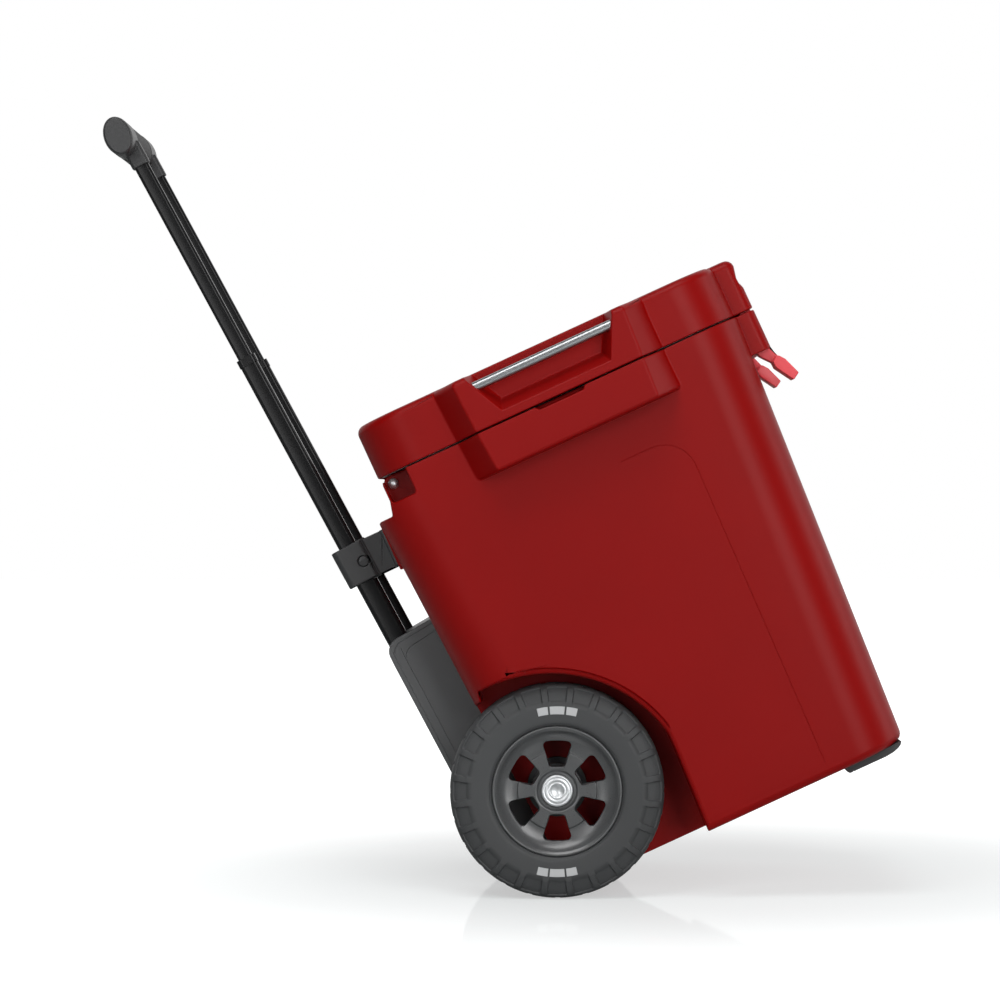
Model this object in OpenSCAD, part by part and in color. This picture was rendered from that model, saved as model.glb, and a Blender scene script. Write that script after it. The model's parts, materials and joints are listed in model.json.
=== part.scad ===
// Hard cooler on two wheels with a three-stage pull handle.
// Millimetres. +X is the front (latch side), +Y the left side, +Z up.
// Modules measure X from the wheel axle; placed() moves them to the frame,
// whose origin is on the ground under the middle of the whole object.

/* [Body] */
// Height of the body's top rim above the ground
rim_z = 438.4; // [436:0.1:440]
// Height of the body's underside above the ground
base_z = 7.4; // [6:0.1:9]
// Half of the body's width at the rim
body_half_w = 222; // [218:0.5:226]
// Back wall at the rim, extended up along its draft
body_back = -49.8; // [-51:0.1:-48]
// Front wall at the rim
body_front = 342; // [338:0.5:344]
// Draft of the front and back walls, in degrees
draft_x = 2.95; // [2.5:0.05:3.2]
// Draft of the side walls, in degrees
draft_y = 2.1; // [1.8:0.05:2.4]
// Radius of the upright corners
corner_r = 50; // [44:1:56]
// Thickness of the outer shell
shell_t = 4; // [3:0.5:5]
// Insulated wall between the outer face and the inside of the liner
wall_t = 29; // [26:1:32]

/* [Lid] */
// Lowest level of the lid's outer skin
lid_z = 440; // [439.6:0.1:440.4]
// Top of the lid
lid_top = 492.5; // [490:0.5:495]
// Back face of the lid
lid_back = -31.5; // [-32:0.1:-31]
// Front face of the lid beside the front boss
lid_front = 340; // [338:0.5:342]
// Height of the hinge pin
hinge_z = 430.4; // [430:0.1:431]
// Hinge pin, measured forward from the axle
hinge_x = -19.6; // [-20:0.1:-19]
// Hinge pin radius
hinge_r = 4; // [3.5:0.5:4]

/* [Bosses] */
// How far the side bosses stand out
boss_out = 30; // [26:1:32]
// Lower edge of the side bosses and of the front boss
boss_z = 398; // [394:1:402]
// Half of the front boss's width
front_boss_half = 170; // [165:1:172]
// Face of the front boss
front_boss_x = 361; // [359:0.5:362]
// Radius of the steel carry bars
bar_r = 4.7; // [4:0.1:5]
// Height of the carry bars
bar_z = 479.4; // [478:0.1:481]

/* [Wheels] */
// Wheel diameter
wheel_d = 203.2; // [200:0.1:206]
// Wheel width
wheel_w = 56; // [52:1:58]
// Distance of each wheel's middle from the centre plane
wheel_y = 176; // [175:0.5:177]
// Radius where tyre and rim meet
rim_r = 62; // [60:0.5:64]
// Axle radius
axle_r = 8; // [7:0.5:9]
// Number of ribs round each tyre shoulder
tyre_ribs = 24; // [20:2:28]
// Windows in each rim
rim_windows = 6; // [5:1:6]
// Angle that one rim window has turned forward of straight up, in degrees
wheel_turn = 24.7; // [0:0.1:60]

/* [Handle] */
// Backward lean of the poles, in degrees
pole_lean = 3.75; // [3.5:0.05:4]
// Distance between the two poles
pole_gap = 152; // [148:1:156]
// Top of the fixed outer tubes above the ground
outer_top = 396; // [394:1:398]
// Top of the middle stage with the handle pulled out
middle_top = 604.7; // [600:0.5:610]
// Bottom of the sockets with the handle pulled out
socket_z = 817; // [812:0.5:820]
// Length of the grip
grip_len = 224; // [216:1:232]
// Travel of each telescoping stage
stage_travel = 194; // [180:1:196]

/* [Hidden] */

$fn = 48;
eps = 0.01;
disc = 0.2;
fit = 0.05;
clear = 0.3;
mates = 0.3;

// Overall length: from the grip's back to the latch tips
grip_back = -138.3;
latch_tip = 375.4;
mid_x = (grip_back + latch_tip) / 2;

axle_z = wheel_d / 2;
well_y = 138;
pole_y = pole_gap / 2;
seam_gap = lid_z - rim_z;
arch_r = 136;
arch_x = -15.6;
arch_z = 82;
ledge_z = 402.2;
ledge_back = -32.4;
lobe_r = 9;
knuckle_r = 8.4;
knuckle_y = 105;
knuckle_half = 30;
knuckle_gap = 0.7;
front_zone = 132;
rear_floor = 240;
front_floor = 38;
liner_t = 3;
liner_r = 34;
flange_t = 4;
plug_depth = 20;
plug_gap = 3;
latch_y = 142;
latch_w = 26;
latch_pin_x = 351.5;
latch_pin_z = 466;
latch_pin_r = 2.5;
recess_y = 226;
bar_y = 244;
panel_depth = 1;

pole_x0 = -88;
pole_z0 = 363.3;
outer_size = [21.5, 17, 5];
middle_size = [18, 13.4, 4.2];
inner_size = [14.6, 10, 3.4];
tube_wall = 1.5;
overlap = 40;
housing_half = 108;
ring_h = 39;
ring_z = 357;
ring_wall = 6.5;
collar_h = 8;
grip_x = -124.4;
grip_z = 849.4;
grip_a = 13.9;
grip_b = 19.4;
cap_len = 9;
button_travel = 4;
button_half = [5, 19];

// Outer walls at height z, including their draft
function back_x(z) = body_back + (rim_z - z) * tan(draft_x);
function front_x(z) = body_front - (rim_z - z) * tan(draft_x);
function side_y(z) = body_half_w - (rim_z - z) * tan(draft_y);
// Middle line of the poles at height z
function pole_x(z) = pole_x0 - (z - pole_z0) * tan(pole_lean);
function arc(cx, cz, r, a0, a1, n) =
    [for (i = [0:n]) [cx + r * cos(a0 + (a1 - a0) * i / n), cz + r * sin(a0 + (a1 - a0) * i / n)]];

module placed() {
    translate([-mid_x, 0, 0]) children();
}

module left() {
    mirror([0, 1, 0]) children();
}

module both_sides() {
    children();
    mirror([0, 1, 0]) children();
}

// A side-view outline in X and Z, given thickness from y0 to y1
module side_plate(y0, y1) {
    translate([0, y1, 0]) rotate([90, 0, 0]) linear_extrude(y1 - y0) children();
}

// A round bar along Y
module bar_y(x, z, r, y0, y1) {
    translate([x, y1, z]) rotate([90, 0, 0]) cylinder(r = r, h = y1 - y0);
}

// Corner discs that hull() turns into a block with rounded upright corners.
// Each slice is [z, x0, x1, half_y, r], and the last one ends at its own z.
module slices(list) {
    top = list[len(list) - 1][0];
    hull() for (s = list, x = [s[1] + s[4], s[2] - s[4]], y = [-1, 1])
        translate([x, y * (s[3] - s[4]), min(s[0], top - disc)]) cylinder(r = s[4], h = disc, $fn = 36);
}

// A straight block with rounded upright corners
module slab(z0, z1, x0, x1, half_y, r) {
    translate([(x0 + x1) / 2, 0, z0]) linear_extrude(z1 - z0) rounded_rect([x1 - x0, 2 * half_y, r]);
}

// A drafted block that follows the body's walls, inset by t
module body_form(t, z0, z1, edge) {
    lower = [for (a = [0:30:90]) [z0 + edge * (1 - sin(a)), edge * (1 - cos(a))]];
    slices([for (p = concat([for (q = lower) [q[0], t + q[1]]], [[z1, t]]))
        [p[0], back_x(p[0]) + p[1], front_x(p[0]) - p[1], side_y(p[0]) - p[1], corner_r - p[1]]]);
}

// Space round one wheel, open to the side, the back and the ground
module wheel_well(grow) {
    side_plate(-300, -well_y + grow) union() {
        intersection() {
            translate([arch_x, arch_z]) circle(r = arch_r + grow, $fn = 96);
            translate([-30, 0]) square([148 + grow, 300]);
        }
        translate([0, axle_z]) circle(r = 110 + grow, $fn = 96);
        polygon([[-150, -10], [113 + grow, -10], [118 + grow, 92], [-150, 92]]);
    }
}

// Side boss outline at one level, reaching from inside the wall to its face
module boss_slice(z, left_out, left_in, right_in, right_out) {
    root = 12;
    flare = root * (left_in - left_out) / boss_out;
    translate([0, 0, z]) linear_extrude(disc) polygon([[left_out - flare, -body_half_w + root],
        [left_in, -body_half_w - boss_out], [right_in, -body_half_w - boss_out],
        [right_out + flare, -body_half_w + root]]);
}

module side_boss(z0, z1) {
    slope = (z1 - z0) * 0.055;
    hull() {
        boss_slice(z0, 51 + (rim_z - z0) * 0.09, 73.5 + (rim_z - z0) * 0.08, 243, 266.5);
        boss_slice(z1 - disc, 51 + (rim_z - z1) * 0.05, 73.5 + (rim_z - z1) * 0.05,
            243 + slope, 266.5 + slope);
    }
}

// Front boss with rounded upright edges
module front_boss(z0, z1) {
    slab(z0, z1, 250, front_boss_x, front_boss_half, 8);
}

// Channel in the front boss that one latch lies in
module latch_channel(z0, z1) {
    translate([345.5, -latch_y - latch_w / 2 - 3, z0]) cube([30, latch_w + 6, z1 - z0]);
}

// Cut that leaves the hinge beam standing forward of the ledge
module hinge_cut() {
    side_plate(-300, 300) polygon(concat([[-80, ledge_z], [ledge_back, ledge_z],
        [hinge_x - lobe_r, 416]],
        arc(hinge_x, hinge_z, lobe_r, 180, 90, 8), [[hinge_x, 450], [-80, 450]]));
}

// Slot that one lid knuckle turns in
module knuckle_slot() {
    y0 = -knuckle_y - knuckle_half - knuckle_gap;
    y1 = -knuckle_y + knuckle_half + knuckle_gap;
    bar_y(hinge_x, hinge_z, knuckle_r + 1.2, y0, y1);
    translate([-60, y0, hinge_z - knuckle_r - 1.2]) cube([60 + hinge_x, y1 - y0, 40]);
    translate([hinge_x, y0, hinge_z]) cube([knuckle_r + 1.2, y1 - y0, 40]);
}

// Pocket in the back corner that shows the end of the hinge pin
module pin_pocket() {
    translate([-27, -300, 413]) cube([25, 300 - 186, 40]);
}

module drain_hole(r, x0, x1) {
    translate([x0, 0, 52]) rotate([0, 90, 0]) cylinder(r = r, h = x1 - x0);
}

module cavity(grow) {
    x0 = -32.4 + wall_t + 4 - grow;
    x1 = front_x(rim_z) - wall_t + grow;
    y = body_half_w - wall_t + grow;
    slices([[front_floor - grow, front_zone - grow, front_x(front_floor) - wall_t + grow,
             side_y(front_floor) - wall_t + grow, liner_r],
            [rim_z + 5, front_zone - grow, x1, y, liner_r]]);
    slices([[rear_floor - grow, x0 + 6, x1 - 8, side_y(rear_floor) - wall_t + grow, liner_r],
            [rim_z + 5, x0, x1, y, liner_r]]);
}

// Solid beam along the back rim, with the blocks that close the pin pockets
module hinge_beam(grow) {
    translate([-80, -300, 396 - grow]) cube([74 + grow, 600, 60 + grow]);
    both_sides() translate([-10, -300, 400 - grow]) cube([12 + grow, 118 + grow, 56 + grow]);
}

module body_shell() color("#8a1a17") {
    difference() {
        union() {
            body_form(0, base_z, rim_z, 8);
            both_sides() side_boss(boss_z, rim_z);
            front_boss(boss_z, rim_z);
            translate([-49.4, -150, 353]) cube([20, 300, ledge_z - 353]);
        }
        difference() {
            body_form(shell_t, base_z + shell_t, rim_z + 1, 6);
            hinge_beam(0);
            both_sides() wheel_well(shell_t);
            translate([0, 0, axle_z]) rotate([90, 0, 0]) cylinder(r = axle_r + 8, h = 400, center = true);
            drain_hole(19, 297.3, 340);
        }
        both_sides() {
            wheel_well(0);
            knuckle_slot();
            pin_pocket();
            latch_channel(boss_z - 5, rim_z + 5);
            side_plate(-260, -238) polygon([[131, rim_z + 1], [135, rim_z - 3.6], [180, rim_z - 3.6], [184, rim_z + 1]]);
        }
        hinge_cut();
        bar_y(hinge_x, hinge_z, hinge_r, -230, 230);
        translate([0, 0, axle_z]) rotate([90, 0, 0]) cylinder(r = axle_r, h = 500, center = true);
        drain_hole(7, 290, 340);
        drain_hole(15, 314, 340);
    }
}

module body_liner() color("#d9d9d6") {
    difference() {
        union() {
            intersection() {
                cavity(liner_t);
                translate([-60, -260, 0]) cube([420, 520, rim_z - flange_t]);
            }
            intersection() {
                body_form(shell_t + 0.2, 380, rim_z + 6, 1);
                difference() {
                    translate([-5.6, -260, rim_z - flange_t]) cube([400, 520, flange_t]);
                    hinge_beam(0.2);
                }
            }
        }
        cavity(0);
        drain_hole(7, 280, 330);
    }
}

module body_foam() color("#e8dfae") {
    difference() {
        body_form(shell_t + mates, base_z + shell_t + mates, rim_z - flange_t - mates, 6);
        cavity(liner_t + mates);
        both_sides() wheel_well(shell_t + mates);
        hinge_beam(mates);
        translate([0, 0, axle_z]) rotate([90, 0, 0]) cylinder(r = axle_r + 8 + mates, h = 500, center = true);
        drain_hole(19 + mates, 270, 340);
    }
}

module lid_outline(t, z0, z1) {
    slab(z0, z1, lid_back + t, lid_front - t, body_half_w - t, corner_r - t);
}

// Scoop in one side boss behind the carry bar, narrower inside and open at the top
module bar_recess() {
    hull() {
        side_plate(-260, -body_half_w - boss_out + eps) polygon([[75, 505], [103.6, 448.6], [214.5, 448.6], [242, 505]]);
        side_plate(-recess_y - eps, -recess_y) polygon([[84, 505], [107, 460.2], [211, 460.2], [234, 505]]);
    }
}

module lid_shell() color("#8a1a17") difference() {
    edge = 8;
    mid = 2.3;
    root_z = 3.9;
    boss_top = lid_top - 0.5;
    union() {
        difference() {
            union() {
                slices([for (p = [[lid_z, 0], [lid_top - edge, 0.4], [lid_top - mid, mid], [lid_top, edge]])
                    [p[0], lid_back + p[1], lid_front - p[1], body_half_w - p[1], corner_r - p[1]]]);
                both_sides() difference() {
                    side_boss(lid_z, lid_top - 0.6);
                    bar_recess();
                }
                slices([for (p = [[lid_z, 0], [boss_top - edge, 0.3], [boss_top - mid, mid], [boss_top, edge]])
                    [p[0], 250, front_boss_x - p[1], front_boss_half - p[1] / 2, 9]]);
                side_plate(-55, 55) polygon([[350, 468], [360, 467.5], [364.4, 454], [365, lid_z], [350, lid_z]]);
            }
            lid_outline(shell_t, lid_z - 1, lid_top - shell_t);
            front_scoop();
            both_sides() {
                latch_channel(lid_z - 5, 474);
                carry_bar_bore();
            }
        }
        both_sides() knuckle(root_z);
    }
    both_sides() {
        bar_y(hinge_x, hinge_z, hinge_r + fit, -200, -20);
        bar_y(latch_pin_x, latch_pin_z, latch_pin_r, -latch_y - 22, -latch_y + 22);
    }
}

// Shallow hollow under the lid's front edge for the fingers that lift it
module front_scoop() side_plate(-180, 180) polygon([[front_boss_x + 0.4, 486], [front_boss_x - 2.8, 472],
    [front_boss_x - 2.4, 467], [front_boss_x - 0.6, 463], [front_boss_x + 2, 460], [372, 460], [372, 486]]);

// Hinge knuckle with the foot that spreads into the lid's lower edge
module knuckle(root_z) {
    bar_y(hinge_x, hinge_z, knuckle_r, -knuckle_y - knuckle_half, -knuckle_y + knuckle_half);
    translate([hinge_x - knuckle_r + 0.3, -knuckle_y - knuckle_half, hinge_z])
        cube([2 * knuckle_r - 0.6, 2 * knuckle_half, lid_z - hinge_z + root_z]);
    translate([lid_back + 1, -knuckle_y - knuckle_half, lid_z + 0.5])
        cube([hinge_x - lid_back - 1, 2 * knuckle_half, root_z - 0.5]);
}

module carry_bar_bore() {
    translate([72, -bar_y, bar_z]) rotate([0, 90, 0]) cylinder(r = bar_r, h = 172);
}

module carry_bar() {
    color("#b9bcbe") translate([72, -bar_y, bar_z]) rotate([0, 90, 0]) cylinder(r = bar_r, h = 172);
}

module plug_form(t, z0, z1) {
    x0 = -32.4 + wall_t + 4 + plug_gap + t;
    x1 = front_x(rim_z) - wall_t - plug_gap - t;
    y = body_half_w - wall_t - plug_gap - t;
    slices([[z0, x0 + 3, x1 - 3, y - 3, liner_r - 3], [z1, x0, x1, y, liner_r]]);
}

module gasket_ring(z0, z1) {
    difference() {
        slab(z0, z1, -8.6, 325, 208, 42);
        slab(z0 - 1, z1 + 1, -1.6, 318, 201, 36);
    }
}

module lid_pan() color("#d9d9d6") {
    difference() {
        union() {
            lid_outline(shell_t + 0.2, lid_z, lid_z + 4);
            plug_form(0, rim_z - plug_depth, lid_z + 2);
        }
        plug_form(liner_t, rim_z - plug_depth + liner_t, lid_z + 6);
        gasket_ring(lid_z - 1, lid_z + 2);
        both_sides() translate([hinge_x - knuckle_r - 0.2, -knuckle_y - knuckle_half - 0.2, lid_z - 1])
            cube([2 * knuckle_r + 0.4, 2 * knuckle_half + 0.4, 6]);
    }
}

module lid_foam() color("#e8dfae") {
    difference() {
        union() {
            lid_outline(shell_t + mates, lid_z + 4 + mates, lid_top - shell_t - mates);
            plug_form(liner_t + mates, rim_z - plug_depth + liner_t + mates, lid_z + 5);
        }
        both_sides() translate([340, -latch_y - 20, 436]) cube([30, 40, 42]);
    }
}

module lid_gasket() color("#2b2b2b") gasket_ring(rim_z + clear, lid_z + 1.9);

module hinge_pin() color("#9ea1a3") {
    bar_y(hinge_x, hinge_z, hinge_r, -189, 189);
    both_sides() intersection() {
        translate([hinge_x, -188, hinge_z]) sphere(r = 5.2);
        translate([hinge_x - 10, -200, hinge_z - 10]) cube([20, 12, 20]);
    }
}

// Rubber strap with its eye on the lid, a neck below the boss and a T-shaped pull
module latch() color("#e13240") {
    difference() {
        union() {
            side_plate(-latch_y - latch_w / 2, -latch_y + latch_w / 2) polygon([[347, 470], [356, 470],
                [358.5, 440], [360.6, 399], [364.2, 389], [361, 386], [356.5, 385], [351, 391.5], [347.6, 396], [347, 410]]);
            bar_y(latch_pin_x, latch_pin_z, 5, -latch_y - latch_w / 2, -latch_y + latch_w / 2);
            side_plate(-latch_y - 22, -latch_y + 22) polygon([[364.6, 388.5], [368.9, 382.8], [375.4, 365.3],
                [368.2, 361.3], [357.4, 378.9], [357, 385.2], [361.5, 388.6]]);
        }
        bar_y(latch_pin_x, latch_pin_z, latch_pin_r + fit, -200, -100);
    }
}

module latch_pins() color("#9ea1a3") both_sides()
    bar_y(latch_pin_x, latch_pin_z, latch_pin_r, -latch_y - 22, -latch_y + 22);

module tyre_profile() {
    half = wheel_w / 2;
    r = wheel_d / 2;
    translate([rim_r, -half + 3]) square([20, wheel_w - 6]);
    translate([r - 12, -half + 12]) square([12, wheel_w - 24]);
    hull() {
        translate([rim_r + 14, -half + 6]) circle(r = 6, $fn = 32);
        translate([rim_r + 14, half - 6]) circle(r = 6, $fn = 32);
        translate([r - 11, -half + 12]) circle(r = 11, $fn = 40);
        translate([r - 11, half - 12]) circle(r = 11, $fn = 40);
    }
}

module tyre() color("#3a3a3a") {
    translate([0, -wheel_y, axle_z]) difference() {
        rotate([90, 0, 0]) rotate_extrude($fn = 96) tyre_profile();
        for (i = [0:tyre_ribs - 1], s = [-1, 1]) rotate([0, wheel_turn + i * 360 / tyre_ribs, 0])
            translate([-8.5, s * (wheel_w / 2 - 0.5) - 2.5, 88]) cube([17, 5, 10]);
    }
}

// One rounded window, wide at the rim and narrow towards the axle
module rim_window() {
    hull() for (s = [-1, 1]) {
        translate([s * 3.4, 25.8]) circle(r = 3.4, $fn = 24);
        translate([s * 9.8, 42.8]) circle(r = 4.4, $fn = 24);
    }
}

module rim() color("#3a3a3a") {
    half = wheel_w / 2;
    translate([0, -wheel_y, axle_z]) rotate([90, 0, 0]) difference() {
        rotate_extrude($fn = 96) polygon([[13, -half + 2], [24, -half + 2], [24, 7], [54, 9], [54, -half + 4],
            [rim_r, -half + 4], [rim_r, half - 3], [rim_r - 3, half - 2], [51, 17], [38, 14.5], [36, 16.5], [20, 16.5], [20, 13], [13, 13]]);
        for (i = [0:rim_windows - 1]) rotate([0, 0, i * 360 / rim_windows - wheel_turn])
            translate([0, 0, -5]) linear_extrude(40) rim_window();
    }
}

module wheel_bush() color("#d8d2c0") translate([0, -wheel_y, axle_z]) rotate([90, 0, 0]) difference() {
    translate([0, 0, -wheel_w / 2 + 2]) cylinder(r = 13, h = 13 + wheel_w / 2 - 2);
    translate([0, 0, -40]) cylinder(r = axle_r + fit, h = 80);
}

module axle() color("#9ea1a3") bar_y(0, axle_z, axle_r, -wheel_y - 16, wheel_y + 16);

module axle_boss() color("#333333") difference() {
    union() {
        bar_y(0, axle_z, 28.5, -well_y - 5, -well_y);
        bar_y(0, axle_z, 15, -well_y - 8.5, -well_y);
    }
    bar_y(0, axle_z, axle_r, -200, -100);
}

module axle_washers() color("#9ea1a3") both_sides() {
    difference() {
        union() {
            bar_y(0, axle_z, 14, -wheel_y + wheel_w / 2 - 2 + 0.2, -wheel_y + wheel_w / 2 - 2 + 1.2);
            bar_y(0, axle_z, 14, -wheel_y - 14.4, -wheel_y - 13.3);
        }
        bar_y(0, axle_z, axle_r, -250, -100);
    }
}

module axle_cap() color("#b9bcbe") difference() {
    bar_y(0, axle_z, 15.1, -wheel_y - 19.4, -wheel_y - 14.4);
    bar_y(0, axle_z, axle_r, -wheel_y - 16, -100);
    bar_y(0, axle_z, 6.2, -wheel_y - 30, -wheel_y - 18.6);
}

// Moves to the near pole, with Z along the pole and its origin at height z
module on_pole(z) {
    translate([pole_x(z), -pole_y, z]) rotate([0, -pole_lean, 0]) children();
}

module rounded_bar(size, h) {
    linear_extrude(h) rounded_rect(size);
}

// Rounded rectangle drawn from two bars and four true quarter rounds
module rounded_rect(size) {
    x = size[0] / 2;
    y = size[1] / 2;
    r = size[2];
    square([2 * x, 2 * (y - r)], center = true);
    square([2 * (x - r), 2 * y], center = true);
    for (i = [-1, 1], j = [-1, 1]) translate([i * (x - r), j * (y - r)]) circle(r = r, $fn = 32);
}

module tube(size, z0, h) {
    on_pole(z0) difference() {
        rounded_bar(size, h);
        translate([0, 0, -1]) rounded_bar([size[0] - 2 * tube_wall, size[1] - 2 * tube_wall, size[2] - tube_wall], h + 2);
    }
}

outer_bottom = 136;
outer_len = (outer_top - outer_bottom) / cos(pole_lean);
middle_bottom = outer_top - overlap;
middle_len = (middle_top - middle_bottom) / cos(pole_lean);
inner_bottom = middle_top - overlap;
inner_len = (socket_z + 10 - inner_bottom) / cos(pole_lean);

module outer_tube() color("#1f1f1f") tube(outer_size, outer_bottom, outer_len);
module middle_tube() color("#1f1f1f") tube(middle_size, middle_bottom, middle_len - collar_h);
module inner_tube() color("#1f1f1f") tube(inner_size, inner_bottom, inner_len);

module middle_collars() color("#2b2b2b") both_sides() on_pole(middle_top) translate([0, 0, -collar_h]) difference() {
    rounded_bar([middle_size[0] + 1.4, middle_size[1] + 1.4, middle_size[2] + 0.7], collar_h);
    translate([0, 0, -1]) rounded_bar([inner_size[0] + 0.6, inner_size[1] + 0.6, inner_size[2] + 0.3], collar_h + 2);
}

module tube_base_plugs() color("#333333") both_sides() on_pole(outer_bottom)
    rounded_bar([outer_size[0] - 2 * tube_wall - 0.2, outer_size[1] - 2 * tube_wall - 0.2, outer_size[2] - tube_wall], 12);

// Side outline of the handle housing from the body's back wall outwards
module housing_outline(back) {
    polygon(concat([[back_x(60) - 0.4, 60], [-78 + back, 60]],
        [[-88.6 + back, 153.6], [-95.6 + back, 272]],
        arc(-82 + back, 280.5, 13.8, 176, 96, 6),
        [[-47, 297.6], [back_x(297) - 0.4, 297.6]]));
}

// Rods along X from just inside the cover's back face, at its four corners
module cover_screws(r, inset, len) {
    for (p = [[-81.4, 90], [-94.3, 250]], y = [-95, 95])
        translate([p[0] + inset, y, p[1]]) rotate([0, 90, 0]) cylinder(r = r, h = len);
}

module housing_pocket() {
    on_pole(outer_bottom - 2) rounded_bar([outer_size[0] + 0.4, outer_size[1] + 0.4, outer_size[2] + 0.2], 220);
}

module handle_housing() color("#4a4a4a") difference() {
    side_plate(-housing_half, housing_half) housing_outline(4.4);
    side_plate(-pole_y + 16, pole_y - 16) polygon([[-41, 68], [-70, 68], [-80, 150], [-84, 276], [-48, 286]]);
    both_sides() housing_pocket();
    cover_screws(3.1, -6, 29.2);
}

module housing_cover() color("#4a4a4a") difference() {
    side_plate(-housing_half, housing_half) housing_outline(0);
    side_plate(-housing_half - 1, housing_half + 1) housing_outline(4.2);
    side_plate(-200, 200) polygon([[-79, 291], [-79, 310], [-20, 310], [-20, 40], [-73, 40], [-73, 62], [-70, 280]]);
    both_sides() housing_pocket();
    cover_screws(3.1, -6, 29.2);
}

module housing_screws() color("#2b2b2b") cover_screws(3, 1, 22);

// Bracket that holds the outer tubes' upper ends to the body's back
module clamp_bracket() color("#3d3d3d") difference() {
    union() {
        both_sides() {
            on_pole(ring_z) rounded_bar([outer_size[0] + 13.5, outer_size[1] + 2 * ring_wall, 7], ring_h / cos(pole_lean));
            side_plate(-pole_y - 12.6, -pole_y + 12.6) polygon([[pole_x(ring_z) + 8, ring_z], [-51.2, ring_z],
                [-51.2, ring_z + ring_h], [pole_x(ring_z + ring_h) + 8, ring_z + ring_h]]);
        }
        translate([-54.2, -100, ring_z + 1]) cube([4.5, 200, ring_h - 2]);
    }
    both_sides() on_pole(ring_z - 10) rounded_bar([outer_size[0] + 0.1, outer_size[1] + 0.1, outer_size[2] + 0.05], 60);
    both_sides() bar_y(-81.3, 375.9, 5.3, -pole_y - 20, -pole_y - 12.4);
    for (y = [-40, 40]) translate([-60, y, 376.5]) rotate([0, 90, 0]) cylinder(r = 3.1, h = 20);
}

module clamp_screws() color("#2b2b2b") both_sides() difference() {
    bar_y(-81.3, 375.9, 5.2, -pole_y - 14.6, -pole_y - 12.4);
    translate([-90, -pole_y - 20, 375.1]) cube([20, 6.4, 1.6]);
}

module bracket_bolts() color("#2b2b2b") for (y = [-40, 40]) translate([-57.4, y, 376.5]) rotate([0, 90, 0]) {
    cylinder(r = 6, h = 3);
    cylinder(r = 3, h = 7.6);
}

module grip_oval(grow) {
    polygon([for (a = [0:5:355]) [(grip_a + grow) * cos(a), (grip_b + grow) * sin(a)]]);
}

module grip_length(y0, y1, grow) {
    translate([grip_x, y1, grip_z]) rotate([90, 0, 0]) rotate([0, 0, 4]) linear_extrude(y1 - y0) grip_oval(grow);
}

module button_hole(c) {
    translate([grip_x - button_half[0] - c, -button_half[1] - c, grip_z])
        cube([2 * (button_half[0] + c), 2 * (button_half[1] + c), 30]);
}

module grip_core() color("#3d3d3d") difference() {
    union() {
        grip_length(-grip_len / 2 + cap_len, grip_len / 2 - cap_len, -2.2);
        both_sides() grip_length(-grip_len / 2 + cap_len, -pole_y + 14, 0);
        both_sides() on_pole(socket_z) rounded_bar([18.4, 15, 4], 22);
    }
    both_sides() on_pole(socket_z - 5) rounded_bar(inner_size, 5 + 10 / cos(pole_lean));
    translate([grip_x - 5.7, -pole_y - 3, grip_z - 8]) cube([11.4, 2 * pole_y + 6, 16]);
    both_sides() on_pole(socket_z) translate([0, 0, 5]) cylinder(r = 2.4, h = 31);
    button_hole(0.4);
}

module grip_sleeve() color("#2b2b2b") difference() {
    grip_length(-pole_y + 14.2, pole_y - 14.2, -0.4);
    grip_length(-pole_y, pole_y, -2.1);
    button_hole(0.4);
}

module grip_cap() color("#4a4a4a") hull() {
    grip_length(-grip_len / 2 + 2.5, -grip_len / 2 + cap_len, 0);
    grip_length(-grip_len / 2, -grip_len / 2 + 1, -2.5);
}

module release_button() color("#4a4a4a") intersection() {
    grip_length(-40, 40, -0.2);
    translate([grip_x - button_half[0], -button_half[1], grip_z + 8.4]) cube([2 * button_half[0], 2 * button_half[1], 20]);
}

module release_bar() color("#d8d2c0") difference() {
    union() {
        translate([grip_x - 4.6, -pole_y - 2.4, grip_z + 0.6]) cube([9.2, 2 * pole_y + 4.8, 5]);
        translate([grip_x - 4, -10, grip_z + 4]) cube([8, 20, 4.4]);
    }
    translate([grip_x, 0, grip_z - 2]) cylinder(r = 3.2, h = 5);
}

module push_rods() color("#9ea1a3") both_sides() on_pole(inner_bottom + 12)
    cylinder(r = 2, h = (grip_z + 0.6 - inner_bottom - 12) / cos(pole_lean));

module button_spring() color("#9ea1a3") translate([grip_x, 0, grip_z - 7.8]) difference() {
    cylinder(r = 3, h = 8.2);
    translate([0, 0, -1]) cylinder(r = 1.8, h = 12);
}

module foot_outline() {
    polygon([[257, base_z], [257, 2], [259, 0], [297, 0], [308, 1.3], [314, 4.4], [316, base_z]]);
}

module foot() color("#333333") difference() {
    side_plate(-184, -118) foot_outline();
    for (y = [-168, -134]) translate([277, y, -1]) {
        cylinder(r = 4.5, h = 3.6);
        cylinder(r = 2.1, h = 12);
    }
}

module foot_screws() color("#9ea1a3") both_sides() for (y = [-168, -134]) translate([277, y, 1]) {
    cylinder(r = 4.2, h = 1.6);
    cylinder(r = 2, h = 5);
}

module drain_plug() color("#2b2b2b") {
    drain_hole(6.4, 296, 320);
    difference() {
        drain_hole(12, 316.3, 320.8);
        for (a = [0:30:330]) translate([310, 0, 52]) rotate([a, 0, 0]) translate([0, 12.6, 0])
            rotate([0, 90, 0]) cylinder(r = 1.6, h = 20);
    }
}

module drain_seal() color("#8f8f8f") difference() {
    drain_hole(10, 314.3, 316.3);
    drain_hole(6.4, 310, 320);
}

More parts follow.
